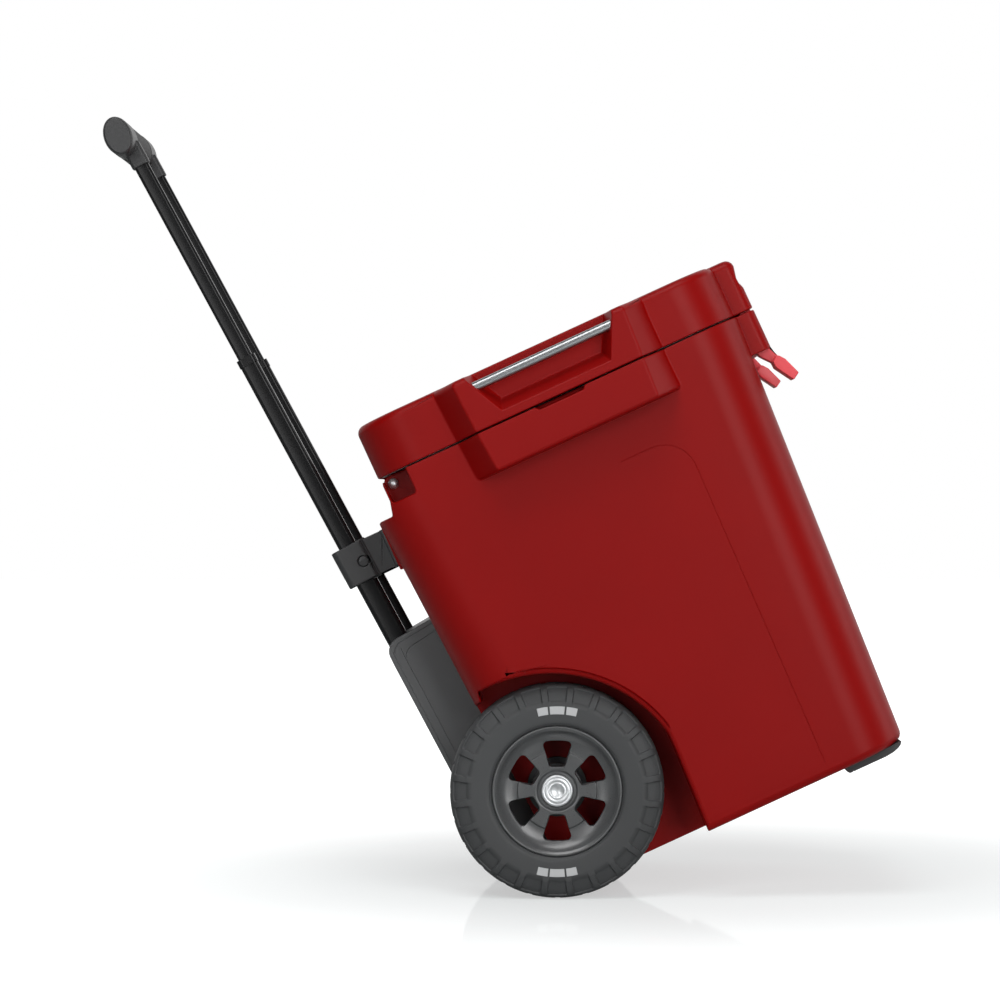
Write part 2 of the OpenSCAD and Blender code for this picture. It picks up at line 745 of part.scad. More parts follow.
placed() body_shell();
placed() body_liner();
placed() body_foam();
placed() lid_shell();
placed() lid_pan();
placed() lid_foam();
placed() lid_gasket();
placed() hinge_pin();
placed() carry_bar();  // carry_bar_right
placed() left() carry_bar();  // carry_bar_left
placed() latch();  // latch_right
placed() left() latch();  // latch_left
placed() latch_pins();
placed() tyre();  // tyre_right
placed() left() tyre();  // tyre_left
placed() rim();  // rim_right
placed() left() rim();  // rim_left
placed() wheel_bush();  // wheel_bush_right
placed() left() wheel_bush();  // wheel_bush_left
placed() axle();
placed() axle_boss();  // axle_boss_right
placed() left() axle_boss();  // axle_boss_left
placed() axle_washers();
placed() axle_cap();  // axle_cap_right
placed() left() axle_cap();  // axle_cap_left
placed() handle_housing();
placed() housing_cover();
placed() housing_screws();
placed() tube_base_plugs();
placed() outer_tube();  // outer_tube_right
placed() left() outer_tube();  // outer_tube_left
placed() middle_tube();  // middle_tube_right
placed() left() middle_tube();  // middle_tube_left
placed() middle_collars();
placed() inner_tube();  // inner_tube_right
placed() left() inner_tube();  // inner_tube_left
placed() clamp_bracket();
placed() clamp_screws();
placed() bracket_bolts();
placed() grip_core();
placed() grip_sleeve();
placed() grip_cap();  // grip_cap_right
placed() left() grip_cap();  // grip_cap_left
placed() release_button();
placed() button_spring();
placed() release_bar();
placed() push_rods();
placed() foot();  // foot_right
placed() left() foot();  // foot_left
placed() foot_screws();
placed() drain_plug();
placed() drain_seal();
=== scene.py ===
"""Hard cooler on two wheels: its finished looks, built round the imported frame.

Profiles are in millimetres, X from the wheel axle and Z from the ground, as V() reads them.
"""

import json
import math

import bmesh
import bpy
from mathutils import Matrix, Vector

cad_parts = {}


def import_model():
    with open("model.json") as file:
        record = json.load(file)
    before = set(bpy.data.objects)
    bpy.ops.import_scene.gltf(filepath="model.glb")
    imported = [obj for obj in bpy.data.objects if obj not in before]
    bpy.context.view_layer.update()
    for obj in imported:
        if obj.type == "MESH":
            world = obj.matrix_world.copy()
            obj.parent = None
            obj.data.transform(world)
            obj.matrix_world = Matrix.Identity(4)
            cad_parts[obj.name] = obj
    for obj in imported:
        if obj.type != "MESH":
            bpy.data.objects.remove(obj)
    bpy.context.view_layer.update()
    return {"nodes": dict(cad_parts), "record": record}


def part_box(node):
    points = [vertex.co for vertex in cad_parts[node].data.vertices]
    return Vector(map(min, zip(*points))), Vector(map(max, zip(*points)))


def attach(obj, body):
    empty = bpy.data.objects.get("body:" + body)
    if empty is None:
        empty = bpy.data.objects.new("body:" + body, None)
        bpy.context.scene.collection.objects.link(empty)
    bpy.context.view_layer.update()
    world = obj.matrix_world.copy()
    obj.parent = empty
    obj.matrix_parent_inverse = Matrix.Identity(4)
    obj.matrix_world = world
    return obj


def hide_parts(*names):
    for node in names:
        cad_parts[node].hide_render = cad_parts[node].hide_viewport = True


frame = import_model()
MM = 0.001
AXLE = [(a + b) / 2 for a, b in zip(*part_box("axle"))]
WHEEL_Y = sum(v.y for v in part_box("rim_right")) / 2 / MM
AXLE_Z = AXLE[2] / MM
ROLL = math.radians(24.7)
RIGHT = Vector((math.cos(ROLL), 0, -math.sin(ROLL)))
UP = Vector((math.sin(ROLL), 0, math.cos(ROLL)))
OUT = Vector((0, -1, 0))

RIM_Z, LID_Z, LID_TOP, BASE_Z = 438.4, 440.0, 492.5, 7.4
HALF_W, CORNER = 222.0, 50.0
BACK_X, FRONT_X = -49.8, 342
END_DRAFT, SIDE_DRAFT = math.radians(2.95), math.radians(2.1)
BOSS_OUT = 30
HINGE_X, HINGE_Z = -19.6, 430.4
POLE_Y, LEAN = 76.0, math.radians(3.75)
POLE_X, POLE_MARK_Z = -88, 363.3
SCREW_X, SCREW_Z = -81.3, 375.9
GRIP_X, GRIP_Z = -124.4, 849.4
ROUNDING = (0, 0.4, 0.8, 1.2, math.pi / 2)


# ---- geometry helpers -------------------------------------------------------------------

def V(x, y, z):
    return Vector((AXLE[0] + x * MM, y * MM, z * MM))


def back_x(z):
    return BACK_X + (RIM_Z - z) * math.tan(END_DRAFT)


def front_x(z):
    return FRONT_X - (RIM_Z - z) * math.tan(END_DRAFT)


def side_y(z):
    return HALF_W - (RIM_Z - z) * math.tan(SIDE_DRAFT)


def pole_x(z):
    return POLE_X - (z - POLE_MARK_Z) * math.tan(LEAN)


def arc(cx, cz, r, a0, a1, n):
    steps = [math.radians(a0 + (a1 - a0) * i / n) for i in range(n + 1)]
    return [(cx + r * math.cos(a), cz + r * math.sin(a)) for a in steps]


def link(name, mesh):
    obj = bpy.data.objects.new(name, mesh)
    bpy.context.scene.collection.objects.link(obj)
    return obj


def from_rings(name, rings, closed=False):
    """A solid skinned through equal rings of points; closed joins the last ring to the first."""
    n = len(rings[0])
    bm = bmesh.new()
    rows = [[bm.verts.new(p) for p in ring] for ring in rings]
    pairs = list(zip(rows, rows[1:])) + ([(rows[-1], rows[0])] if closed else [])
    for a, b in pairs:
        for i in range(n):
            j = (i + 1) % n
            bm.faces.new((a[i], a[j], b[j], b[i]))
    if not closed:
        bm.faces.new(rows[0][::-1])
        bm.faces.new(rows[-1])
    bmesh.ops.recalc_face_normals(bm, faces=bm.faces)
    mesh = bpy.data.meshes.new(name)
    bm.to_mesh(mesh)
    bm.free()
    return link(name, mesh)


def plate(name, outline, y0, y1):
    """A side-view outline given thickness from y0 to y1."""
    return from_rings(name, [[V(x, y, z) for x, z in outline] for y in (y0, y1)])


def box(name, x0, x1, y0, y1, z0, z1):
    return plate(name, [(x0, z0), (x1, z0), (x1, z1), (x0, z1)], y0, y1)


def rod(name, x, z, r, y0, y1, n=48):
    return plate(name, arc(x, z, r, 0, 360 - 360 / n, n - 1), y0, y1)


def revolve(name, profile, y, n=128, x=0.0, z=None, shape=None):
    """A closed profile of (radius, outward distance) turned about an axis along Y.

    shape moves its points.
    """
    z = AXLE_Z if z is None else z
    rings = []
    for i in range(n):
        a = 2 * math.pi * i / n
        ring = []
        for r, w in profile:
            if shape:
                r, w = shape(r, w, a)
            ring.append(V(x + r * math.sin(a), y - w, z + r * math.cos(a)))
        rings.append(ring)
    return from_rings(name, rings, closed=True)


def round_rect(x0, x1, y0, y1, r, n=8):
    pts = []
    corners = ((x1 - r, y1 - r, 0), (x0 + r, y1 - r, 90), (x0 + r, y0 + r, 180), (x1 - r, y0 + r, 270))
    for cx, cy, a in corners:
        pts += arc(cx, cy, r, a, a + 90, n)
    return pts


def body_ring(z, t=0.0, n=12):
    pts = round_rect(back_x(z) + t, front_x(z) - t, -side_y(z) + t, side_y(z) - t, CORNER - t, n)
    return [V(x, y, z) for x, y in pts]


def refresh(obj):
    """Applies obj's modifiers to its mesh."""
    bpy.context.view_layer.update()
    graph = bpy.context.evaluated_depsgraph_get()
    mesh = bpy.data.meshes.new_from_object(obj.evaluated_get(graph))
    obj.modifiers.clear()
    obj.data = mesh
    return obj


def combine(obj, tools, operation="DIFFERENCE"):
    for tool in tools:
        mod = obj.modifiers.new("bool", "BOOLEAN")
        mod.operation, mod.solver, mod.object = operation, "EXACT", tool
        refresh(obj)
        bpy.data.objects.remove(tool)
    return obj


def mirrored(obj, name):
    """A copy of obj reflected to the other side."""
    mesh = obj.data.copy()
    for v in mesh.vertices:
        v.co.y = -v.co.y
    mesh.flip_normals()
    return link(name, mesh)


def soften(obj, width, angle=28, segments=3, weld=0.03, merge=True):
    """Rounds every sharp edge by width, with even shading on the flats."""
    bm = bmesh.new()
    bm.from_mesh(obj.data)
    bmesh.ops.remove_doubles(bm, verts=bm.verts, dist=weld * MM)
    bmesh.ops.dissolve_degenerate(bm, dist=0.01 * MM, edges=bm.edges)
    if merge:
        bmesh.ops.dissolve_limit(bm, angle_limit=math.radians(0.4), verts=bm.verts, edges=bm.edges)
    bm.to_mesh(obj.data)
    bm.free()
    obj.data.shade_smooth()
    mod = obj.modifiers.new("bevel", "BEVEL")
    mod.width, mod.segments, mod.limit_method = width * MM, segments, "ANGLE"
    mod.angle_limit = math.radians(angle)
    mod.use_clamp_overlap = False
    mod.harden_normals = False
    obj.modifiers.new("weighted", "WEIGHTED_NORMAL").weight = 60
    return refresh(obj)


def smooth(obj, angle=35):
    obj.data.shade_smooth()
    obj.data.set_sharp_from_angle(angle=math.radians(angle))
    return obj


# ---- materials --------------------------------------------------------------------------

def srgb(r, g, b):
    return [((c / 255 + 0.055) / 1.055) ** 2.4 if c > 10 else c / 255 / 12.92 for c in (r, g, b)] + [1]


def material(name, colour, rough, grain=900, bump=0.05, vary=0.06, metal=0.0, coat=0.0, level=0.5,
             stretch=(1, 1, 1), rough_vary=0.08):
    """Moulded or drawn finish: fine grain in the surface, slow change in colour and roughness."""
    mat = bpy.data.materials.new(name)
    mat.use_nodes = True
    nodes, links = mat.node_tree.nodes, mat.node_tree.links
    shader = nodes["Principled BSDF"]
    shader.inputs["Metallic"].default_value = metal
    shader.inputs["Coat Weight"].default_value = coat
    shader.inputs["Coat Roughness"].default_value = 0.12
    shader.inputs["Specular IOR Level"].default_value = level
    coord = nodes.new("ShaderNodeTexCoord")
    mapping = nodes.new("ShaderNodeMapping")
    mapping.inputs["Scale"].default_value = stretch
    links.new(coord.outputs["Object"], mapping.inputs["Vector"])
    slow = nodes.new("ShaderNodeTexNoise")
    slow.inputs["Scale"].default_value = 9
    slow.inputs["Detail"].default_value = 4
    fine = nodes.new("ShaderNodeTexNoise")
    fine.inputs["Scale"].default_value = grain
    fine.inputs["Detail"].default_value = 3
    for tex in (slow, fine):
        links.new(mapping.outputs["Vector"], tex.inputs["Vector"])
    ramp = nodes.new("ShaderNodeValToRGB")
    dark = [c * (1 - vary) for c in colour[:3]] + [1]
    light = [min(c * (1 + vary), 1) for c in colour[:3]] + [1]
    ramp.color_ramp.elements[0].position, ramp.color_ramp.elements[0].color = 0.3, dark
    ramp.color_ramp.elements[1].position, ramp.color_ramp.elements[1].color = 0.7, light
    links.new(slow.outputs["Fac"], ramp.inputs["Fac"])
    links.new(ramp.outputs["Color"], shader.inputs["Base Color"])
    spread = nodes.new("ShaderNodeMapRange")
    spread.inputs["To Min"].default_value = max(rough - rough_vary, 0.02)
    spread.inputs["To Max"].default_value = rough + rough_vary
    links.new(fine.outputs["Fac"], spread.inputs["Value"])
    links.new(spread.outputs["Result"], shader.inputs["Roughness"])
    relief = nodes.new("ShaderNodeBump")
    relief.inputs["Strength"].default_value = bump
    relief.inputs["Distance"].default_value = 0.0003
    links.new(fine.outputs["Fac"], relief.inputs["Height"])
    links.new(relief.outputs["Normal"], shader.inputs["Normal"])
    return mat


MATS = {
    "red_shell": material("moulded_red", srgb(139, 3, 2), 0.42, 1400, 0.06, 0.03, level=0.16),
    "liner": material("liner_grey", srgb(205, 205, 202), 0.45, 1200, 0.08, 0.03),
    "foam": material("foam_cream", srgb(226, 214, 168), 0.85, 500, 0.5, 0.08),
    "black_rubber": material("black_rubber", srgb(58, 58, 59), 0.62, 1100, 0.2, 0.08),
    "red_rubber": material("red_rubber", srgb(226, 70, 78), 0.4, 1300, 0.08, 0.04),
    "grip_rubber": material("grip_rubber", srgb(50, 50, 51), 0.6, 700, 0.5, 0.08, level=0.25),
    "steel": material("brushed_steel", srgb(168, 170, 172), 0.3, 700, 0.12, 0.06, metal=1.0,
                      stretch=(0.06, 1, 1)),
    "dark_steel": material("black_steel", srgb(62, 62, 63), 0.42, 900, 0.08, 0.05, metal=0.2),
    "tyre": material("tyre_rubber", srgb(66, 67, 68), 0.58, 1000, 0.2, 0.07, level=0.4),
    "grey_plastic": material("grey_plastic", srgb(88, 89, 90), 0.42, 1200, 0.08, 0.05, level=0.4),
    "dark_plastic": material("dark_plastic", srgb(54, 54, 55), 0.42, 1200, 0.08, 0.05),
    "nylon": material("nylon", srgb(205, 199, 182), 0.5, 900, 0.06, 0.05),
    "black_tube": material("gloss_black_tube", srgb(27, 27, 28), 0.22, 400, 0.01, 0.04, level=0.22,
                           rough_vary=0.02),
    "seal": material("seal_grey", srgb(70, 70, 70), 0.6, 900, 0.15, 0.05),
}
MARK = material("mark_grey", srgb(190, 191, 192), 0.5, 900, 0.08, 0.04)
RIM_GREY = material("rim_grey", srgb(74, 75, 76), 0.3, 1200, 0.05, 0.05, level=0.9)
CHROME = material("turned_steel", srgb(214, 216, 218), 0.38, 500, 0.05, 0.04, metal=0.85)


def dress(obj, slot, body, *nodes, mat=None):
    obj.data.materials.clear()
    obj.data.materials.append(mat or MATS[slot])
    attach(obj, body)
    if nodes:
        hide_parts(*nodes)
    return obj


LOOKS = {"middle_collars": "black_tube"}
for part in frame["record"]["subparts"]:
    mesh = frame["nodes"][part["node"]].data
    mesh.materials.clear()
    mesh.materials.append(MATS[LOOKS.get(part["node"], part["material_slot"])])


# ---- body shell -------------------------------------------------------------------------

def wall_y(x, z):
    """How far out the body's side stands at x, counting its round back corner."""
    inner = back_x(z) + CORNER
    if x >= inner:
        return side_y(z)
    d = min(inner - x, CORNER)
    return side_y(z) - CORNER + math.sqrt(CORNER ** 2 - d ** 2)


def arch(grow=0.0):
    """Side outline of the space round a wheel, grown outwards; every grow gives the same number of points."""
    left, front, big, small = -30 - grow, 118 + grow, 136 + grow, 110 + grow
    a0 = math.degrees(math.acos((front + 15.6) / big))
    a1 = math.degrees(math.acos((left + 15.6) / big))
    b0 = math.degrees(math.acos(left / small))
    return ([(113 + grow, -10), (116.6 + grow, 60), (front, 92)] + arc(-15.6, 82, big, a0, a1, 30)
            + arc(0, AXLE_Z, small, b0, 184, 20) + [(-150, 92), (-150, -10)])


def wheel_well(side, grow=0.0, lip=5.0):
    rings = [[V(x, side * (138 - grow), z) for x, z in arch(grow)]]
    if lip:
        for k in range(6):
            a = math.radians(18 * k)
            rings.append([V(x, side * (wall_y(x0, z0) - lip + lip * math.sin(a)), z)
                          for (x, z), (x0, z0) in zip(arch(lip * (1 - math.cos(a))), arch())])
    rings.append([V(x, side * 300, z) for x, z in arch(lip or grow)])
    return from_rings("well", rings)


def fillet(pts, radii, n=4):
    """The same closed outline with each corner rounded to its radius; 0 leaves it sharp."""
    out = []
    for i, r in enumerate(radii):
        p, a, b = [Vector(pts[(i + k) % len(pts)]) for k in (0, -1, 1)]
        if not r:
            out.append(tuple(p))
            continue
        u, v = (a - p).normalized(), (b - p).normalized()
        half = u.angle(v) / 2
        centre = p + (u + v).normalized() * r / math.sin(half)
        start, end = p + u * r / math.tan(half) - centre, p + v * r / math.tan(half) - centre
        turn = start.angle_signed(end)
        for k in range(n + 1):
            c, s = math.cos(-turn * k / n), math.sin(-turn * k / n)
            out.append((centre.x + start.x * c - start.y * s, centre.y + start.x * s + start.y * c))
    return out


def rounded_top(ring, z, r):
    """The rings that round the top edge of a solid ending at height z."""
    return [ring(z - r * (1 - math.sin(a)), r * (1 - math.cos(a))) for a in ROUNDING]


def rounded_foot(ring, z, r):
    """The rings that round the bottom edge of a solid starting at height z."""
    return [ring(z + r * (1 - math.sin(a)), r * (1 - math.cos(a))) for a in reversed(ROUNDING)]


def side_boss(side, z0, z1, top_round=0.0, foot_round=0.0):
    def ring(z, t):
        k = (RIM_Z - z) * (0.09 if z < RIM_Z else 0.05)
        pts = [(51 + k - 6.8 + t, 210), (73 + k + t * 0.5, HALF_W + BOSS_OUT - t),
               (243 - (RIM_Z - z) * 0.05 - t * 0.5, HALF_W + BOSS_OUT - t), (266.5 + 6.8 - t, 210)]
        return [V(x, side * y, z) for x, y in fillet(pts, (0, 4, 4, 0))]
    rings = [ring(z0, 0)]
    if foot_round:
        rings = rounded_foot(ring, z0, foot_round)
    if top_round:
        rings += rounded_top(ring, z1, top_round)
    else:
        rings.append(ring(z1, 0))
    return from_rings("side_boss", rings)


def front_boss(z0, z1, half=170.0, x1=361.0, top_round=0.0):
    def ring(z, t):
        return [V(x, y, z) for x, y in round_rect(250, x1 - t, -half + t, half - t, 9 - t * 0.5, 6)]
    rings = [ring(z0, 0)]
    if top_round:
        rings += rounded_top(ring, z1, top_round)
    else:
        rings.append(ring(z1, 0))
    return from_rings("front_boss", rings)


def both(make):
    return [make(-1), make(1)]


def build_body():
    rings = rounded_foot(body_ring, BASE_Z, 8)
    rings += [body_ring(z) for z in (45, 85, 125, 165, 200, 236, 272, 308, 344, 380, 408, 425, RIM_Z)]
    body = from_rings("cooler_body", rings)
    combine(body, both(lambda s: side_boss(s, 398.4, RIM_Z, foot_round=4)) + [
        front_boss(398.4, RIM_Z),
        box("band", -49.4, -20, -150, 150, 353, 402.2)], "UNION")
    hollow = from_rings("hollow", [body_ring(z, 4) for z in (BASE_Z + 4, RIM_Z + 2)])
    combine(hollow, [box("beam", -80, 3, -300, 300, 396, 456), rod("axle_hole", 0, AXLE_Z, 16, -220, 220)])
    combine(hollow, both(lambda s: wheel_well(s, 4, 0)))
    combine(body, [hollow])
    combine(body, both(wheel_well))
    cuts = [plate("hinge", [(-80, 402.2), (-32.4, 402.2), (HINGE_X - 9, 416)]
                  + arc(HINGE_X, HINGE_Z, 9, 180, 90, 10) + [(HINGE_X, 450), (-80, 450)], -300, 300)]
    for s in (-1, 1):
        y0, y1 = sorted((s * 74.3, s * 135.7))
        cuts.append(plate("knuckle", arc(HINGE_X, HINGE_Z, 9.6, 180, 360, 16)
                          + [(HINGE_X + 9.6, 460), (-60, 460), (-60, HINGE_Z)], y0, y1))
        cuts.append(plate("pin_pocket", round_rect(-27, -2, 413, 453, 3, 4), *sorted((s * 186, s * 300))))
        cuts.append(box("channel", 345.5, 376, *sorted((s * 126, s * 158)), 390, 445))
        cuts.append(plate("notch", [(131, 440), (135, 434.8), (180, 434.8), (184, 440)],
                          *sorted((s * 238, s * 262))))
    combine(body, cuts + [drain_cut()])
    soften(body, 1.5, merge=False)
    combine(body, [panel(s) for s in (-1, 1)])
    return dress(soften(body, 0.3, angle=55, segments=2, weld=0.005, merge=False), "red_shell", "body",
                 "body_shell")


def panel(side):
    """A hair-fine groove that marks the upper front corner of the side panel."""
    def path(out):
        return [(185, 359 + out)] + arc(215, 327, 32 + out, 90, 0, 10) + [(241 + out, 22)]
    outline = path(0.35) + path(-0.35)[::-1]
    return from_rings("panel", [[V(x, side * (side_y(z) + out), z) for x, z in outline] for out in (-0.3, 4)])


def drain_cut():
    ring = [(15 * math.cos(a), 15 * math.sin(a)) for a in [i * math.pi / 18 for i in range(36)]]
    return from_rings("drain", [[V(x, y, 52 + z) for y, z in ring] for x in (314, 345)])


# ---- lid --------------------------------------------------------------------------------

def build_lid():
    edge = 8
    def ring(z, t, n=12):
        pts = round_rect(-31.5 + t, 340 - t, -HALF_W + t, HALF_W - t, CORNER - t, n)
        return [V(x, y, z) for x, y in pts]
    lid = from_rings("cooler_lid", [ring(LID_Z, 0)] + [
        ring(LID_TOP - edge * (1 - math.sin(a)), edge * (1 - math.cos(a)))
        for a in [math.pi / 2 * i / 6 for i in range(7)]])
    for s in (-1, 1):
        boss = side_boss(s, LID_Z, LID_TOP - 0.6, 7)
        combine(boss, [recess(s)])
        combine(lid, [boss], "UNION")
    combine(lid, [front_boss(LID_Z, LID_TOP - 0.5, top_round=8),
                  plate("lip", [(350, 468), (357, 468)] + arc(353, 456, 12, 60, 0, 6)
                        + [(365, LID_Z), (350, LID_Z)], -55, 55)], "UNION")
    combine(lid, [from_rings("hollow", [ring(LID_Z - 1, 4), ring(LID_TOP - 4, 4)])])
    cuts = [plate("scoop", [(361.4, 486), (358.2, 472), (358.6, 467), (360.4, 463), (363.0, 460), (372, 460),
                            (372, 486)], -180, 180)]
    for s in (-1, 1):
        cuts.append(box("channel", 345.5, 376, *sorted((s * 126, s * 158)), 430, 474))
    combine(lid, cuts)
    for s in (-1, 1):
        y0, y1 = sorted((s * 75, s * 135))
        knuckle = plate("knuckle", arc(HINGE_X, HINGE_Z, 8.4, 180, 360, 16)
                        + [(HINGE_X + 8.4, 443.9), (HINGE_X - 10.9, 443.9), (HINGE_X - 10.9, 440.5),
                           (HINGE_X - 8.4, 440.5)], y0, y1)
        combine(lid, [knuckle], "UNION")
    combine(lid, [rod("bore", HINGE_X, HINGE_Z, 4.05, -200, 200)])
    return dress(soften(lid, 1.5), "red_shell", "lid", "lid_shell")


def recess(side):
    """The scoop behind a carry bar: narrower inside, and open at the top."""
    outer = [(75, 505), (103.6, 448.6), (214.5, 448.6), (242, 505)]
    inner = [(84, 505), (107, 460.2), (211, 460.2), (234, 505)]
    return from_rings("recess", [[V(x, side * 226, z) for x, z in inner],
                                 [V(x, side * (HALF_W + BOSS_OUT + 0.2), z) for x, z in outer]])


# ---- wheels -----------------------------------------------------------------------------

def mirror_profile(half_profile):
    return half_profile + [(r, -w) for r, w in reversed(half_profile)]


def step(t, a, b):
    t = min(max((t - a) / (b - a), 0), 1)
    return t * t * (3 - 2 * t)


RIBS = 24


def tyre_shape(r, w, a):
    """Shallow pockets between the side ribs, and grooves across the tread."""
    phase = (a - ROLL) / (2 * math.pi) * RIBS % 1.0 - 0.5
    off = abs(phase) * 2 * math.pi * r / RIBS
    if abs(w) > 14 and r > 83:
        pocket = step(r, 84.2, 85.6) * (1 - step(r, 97.4, 98.8)) * step(off, 2.8, 3.6)
        if pocket:
            w -= math.copysign(2.3 * pocket, w)
            r -= 0.3 * pocket
    if r > 99:
        shift = abs(((a - ROLL) / (2 * math.pi) * RIBS + (0.5 if w > 0 else 0.0)) % 1.0 - 0.5)
        across = (1 - step(shift * 2 * math.pi * r / RIBS, 1.4, 2.4)) * step(abs(w), 3.5, 5)
        around = 1 - step(abs(abs(w) - 4.2), 1.0, 1.9)
        r -= 2.4 * max(across * (1 - step(abs(w), 15, 17)), around)
    return r, w


def build_tyre():
    side = [(62, 0), (62, 20), (62.0, 24.6), (62.6, 25.6), (63.4, 26.0), (64.0, 26.9), (65.2, 27.5),
            (68, 27.8), (74, 28), (80, 28), (83.9, 27.9), (85.7, 27.7), (86.4, 27.5), (87.2, 27.2),
            (88.2, 26.9), (90, 26.4), (93, 25.4), (95.5, 24.2), (96.8, 23.3), (97.6, 22.6), (98.2, 21.9),
            (98.8, 21.0), (99.8, 19.4), (100.7, 17.4), (101.3, 15.2), (101.5, 13.6), (101.6, 11.5),
            (101.6, 8), (101.6, 6.3), (101.6, 5.9), (101.6, 5.3), (101.6, 4.2), (101.6, 3.1),
            (101.6, 2.5), (101.6, 2.1), (101.6, 0.01)]
    tyre = revolve("tyre_near", mirror_profile(side)[:-1], WHEEL_Y, 720, shape=tyre_shape)
    return smooth(tyre, 60)


def rim_window(i):
    """A rounded window, wide at the rim and narrow at the axle."""
    pts = fillet([(-6.6, 22.4), (6.6, 22.4), (14.6, 46.2), (5, 47.4), (-5, 47.4), (-14.6, 46.2)],
                 (3.4, 3.4, 4.2, 0, 0, 4.2), 6)
    a = ROLL + i * math.pi / 3
    c, s = math.cos(a), math.sin(a)
    return [(x * c + z * s, AXLE_Z - x * s + z * c) for x, z in pts]


def build_rim():
    profile = [(13, -26), (24, -26), (24, 7), (54, 9), (54, -24), (61.9, -24), (61.9, 24.4),
               (61.2, 25.8), (60.2, 26.2), (59.2, 25.9), (58.6, 25.0), (57.9, 24.9), (57.2, 24.2),
               (55.5, 21.6), (52.5, 18.6), (48, 16.6), (43, 15.4), (38.6, 14.7), (37.9, 15.3),
               (37.3, 16.5), (36.6, 16.9), (30, 16.9), (20.5, 16.9), (19.4, 16.3), (18.6, 15.0),
               (17.6, 13.6), (13, 13.4)]
    rim = revolve("rim_near", profile, WHEEL_Y, 144)
    combine(rim, [plate("window", rim_window(i), WHEEL_Y - 40, WHEEL_Y + 12) for i in range(6)])
    return soften(rim, 0.7, angle=65, segments=3, merge=False)


def sector_bar(name, r0, r1, a0, a1, w0, w1, y, n=10):
    """A curved bar on the tyre's side, from angle a0 to a1."""
    rings = []
    for i in range(n + 1):
        a = ROLL + math.radians(a0 + (a1 - a0) * i / n)
        rings.append([V(r * math.sin(a), y - w, AXLE_Z + r * math.cos(a))
                      for r, w in ((r0, w0), (r1, w0), (r1, w1), (r0, w1))])
    return from_rings(name, rings)


def build_wheels():
    tyre, rim = build_tyre(), build_rim()
    marks = None
    for centre in (0, 180):
        for a0, a1 in ((-14, -6.5), (-5.2, 5.2), (6.5, 14)):
            bar = sector_bar("mark", 73.0, 80.5, centre + a0, centre + a1, 27.2, 28.4, WHEEL_Y)
            marks = bar if marks is None else combine(marks, [bar], "UNION")
    marks.name = "side_marks_near"
    soften(marks, 0.25, segments=2)
    cap = revolve("hub_cap_near", [(0.01, 15.0), (0.01, 17.9), (3.4, 17.9), (3.9, 18.3), (6.0, 18.4),
                                   (6.5, 19.0), (7.6, 19.2), (8.0, 18.9), (8.7, 18.9), (9.1, 19.3),
                                   (11.4, 19.3), (11.8, 18.9), (12.5, 18.9), (12.9, 19.2), (14.4, 18.9),
                                   (15.0, 18.0), (15.1, 16.8), (15.1, 14.4), (8.1, 14.4), (8.1, 15.0)],
                                   WHEEL_Y, 72)
    smooth(cap, 50)
    pieces = [(tyre, "tyre", "tyre", None), (rim, "rim", "grey_plastic", RIM_GREY),
              (marks, "side_marks", "tyre", MARK), (cap, "hub_cap", "steel", CHROME)]
    nodes = {"tyre": "tyre", "rim": "rim", "side_marks": None, "hub_cap": "axle_cap"}
    for obj, stem, slot, mat in pieces:
        far = mirrored(obj, stem + "_far")
        for o, side in ((obj, "right"), (far, "left")):
            node = nodes[stem]
            body = "body" if stem == "hub_cap" else "wheel_" + side
            dress(o, slot, body, *([f"{node}_{side}"] if node else []), mat=mat)


# ---- handle -----------------------------------------------------------------------------

def on_pole(side, z0, size, length, name="pole", n=8, end_round=0.0):
    """A rounded bar along one leaning pole, starting at height z0."""
    x, y, r = size[0] / 2, size[1] / 2, size[2]
    lean = Vector((-math.sin(LEAN), 0, math.cos(LEAN)))
    across = Vector((math.cos(LEAN), 0, math.sin(LEAN)))
    start = V(pole_x(z0), side * POLE_Y, z0)
    def ring(h, t):
        pts = round_rect(-x + t, x - t, -y + t, y - t, max(r - t, 0.3), n)
        return [start + lean * h * MM + across * a * MM + Vector((0, b * MM, 0)) for a, b in pts]
    rings = [ring(0, end_round), ring(end_round, 0)] if end_round else [ring(0, 0)]
    rings += [ring(length - end_round, 0), ring(length, end_round)] if end_round else [ring(length, 0)]
    return from_rings(name, rings)


HOUSING = ([(back_x(60) - 0.4, 60), (-78, 60), (-88.6, 153.6), (-95.6, 272)]
           + arc(-82, 280.5, 13.8, 176, 96, 8) + [(-47, 297.6), (back_x(297) - 0.4, 297.6)])


def housing_outline(back):
    return [(x + back if -97 < x < -60 else x, z - (back * 0.9 if z > 284 else 0)) for x, z in HOUSING]


def build_housing():
    shell = plate("handle_housing_shell", HOUSING, -108, 108)
    combine(shell, [on_pole(s, 60, (21.9, 17.4, 5.2), 260) for s in (-1, 1)])
    soften(shell, 1.6, segments=3)
    grooves = []
    for s in (-1, 1):
        ends = sorted((s * 107.2, s * 112))
        for inner, outer in ((5.0, 4.2), (13.6, 12.9)):
            ring = plate("groove", housing_outline(outer), *ends)
            core = plate("core", housing_outline(inner), ends[0] - 1, ends[1] + 1)
            combine(ring, [core])
            keep = box("keep", -120, back_x(200) - 2, ends[0] - 1, ends[1] + 1, 66 if inner < 6 else 76, 320)
            combine(ring, [keep], "INTERSECT")
            grooves.append(ring)
    combine(shell, grooves)
    soften(shell, 0.12, angle=55, segments=1, weld=0.005)
    return dress(shell, "grey_plastic", "body", "handle_housing", "housing_cover")


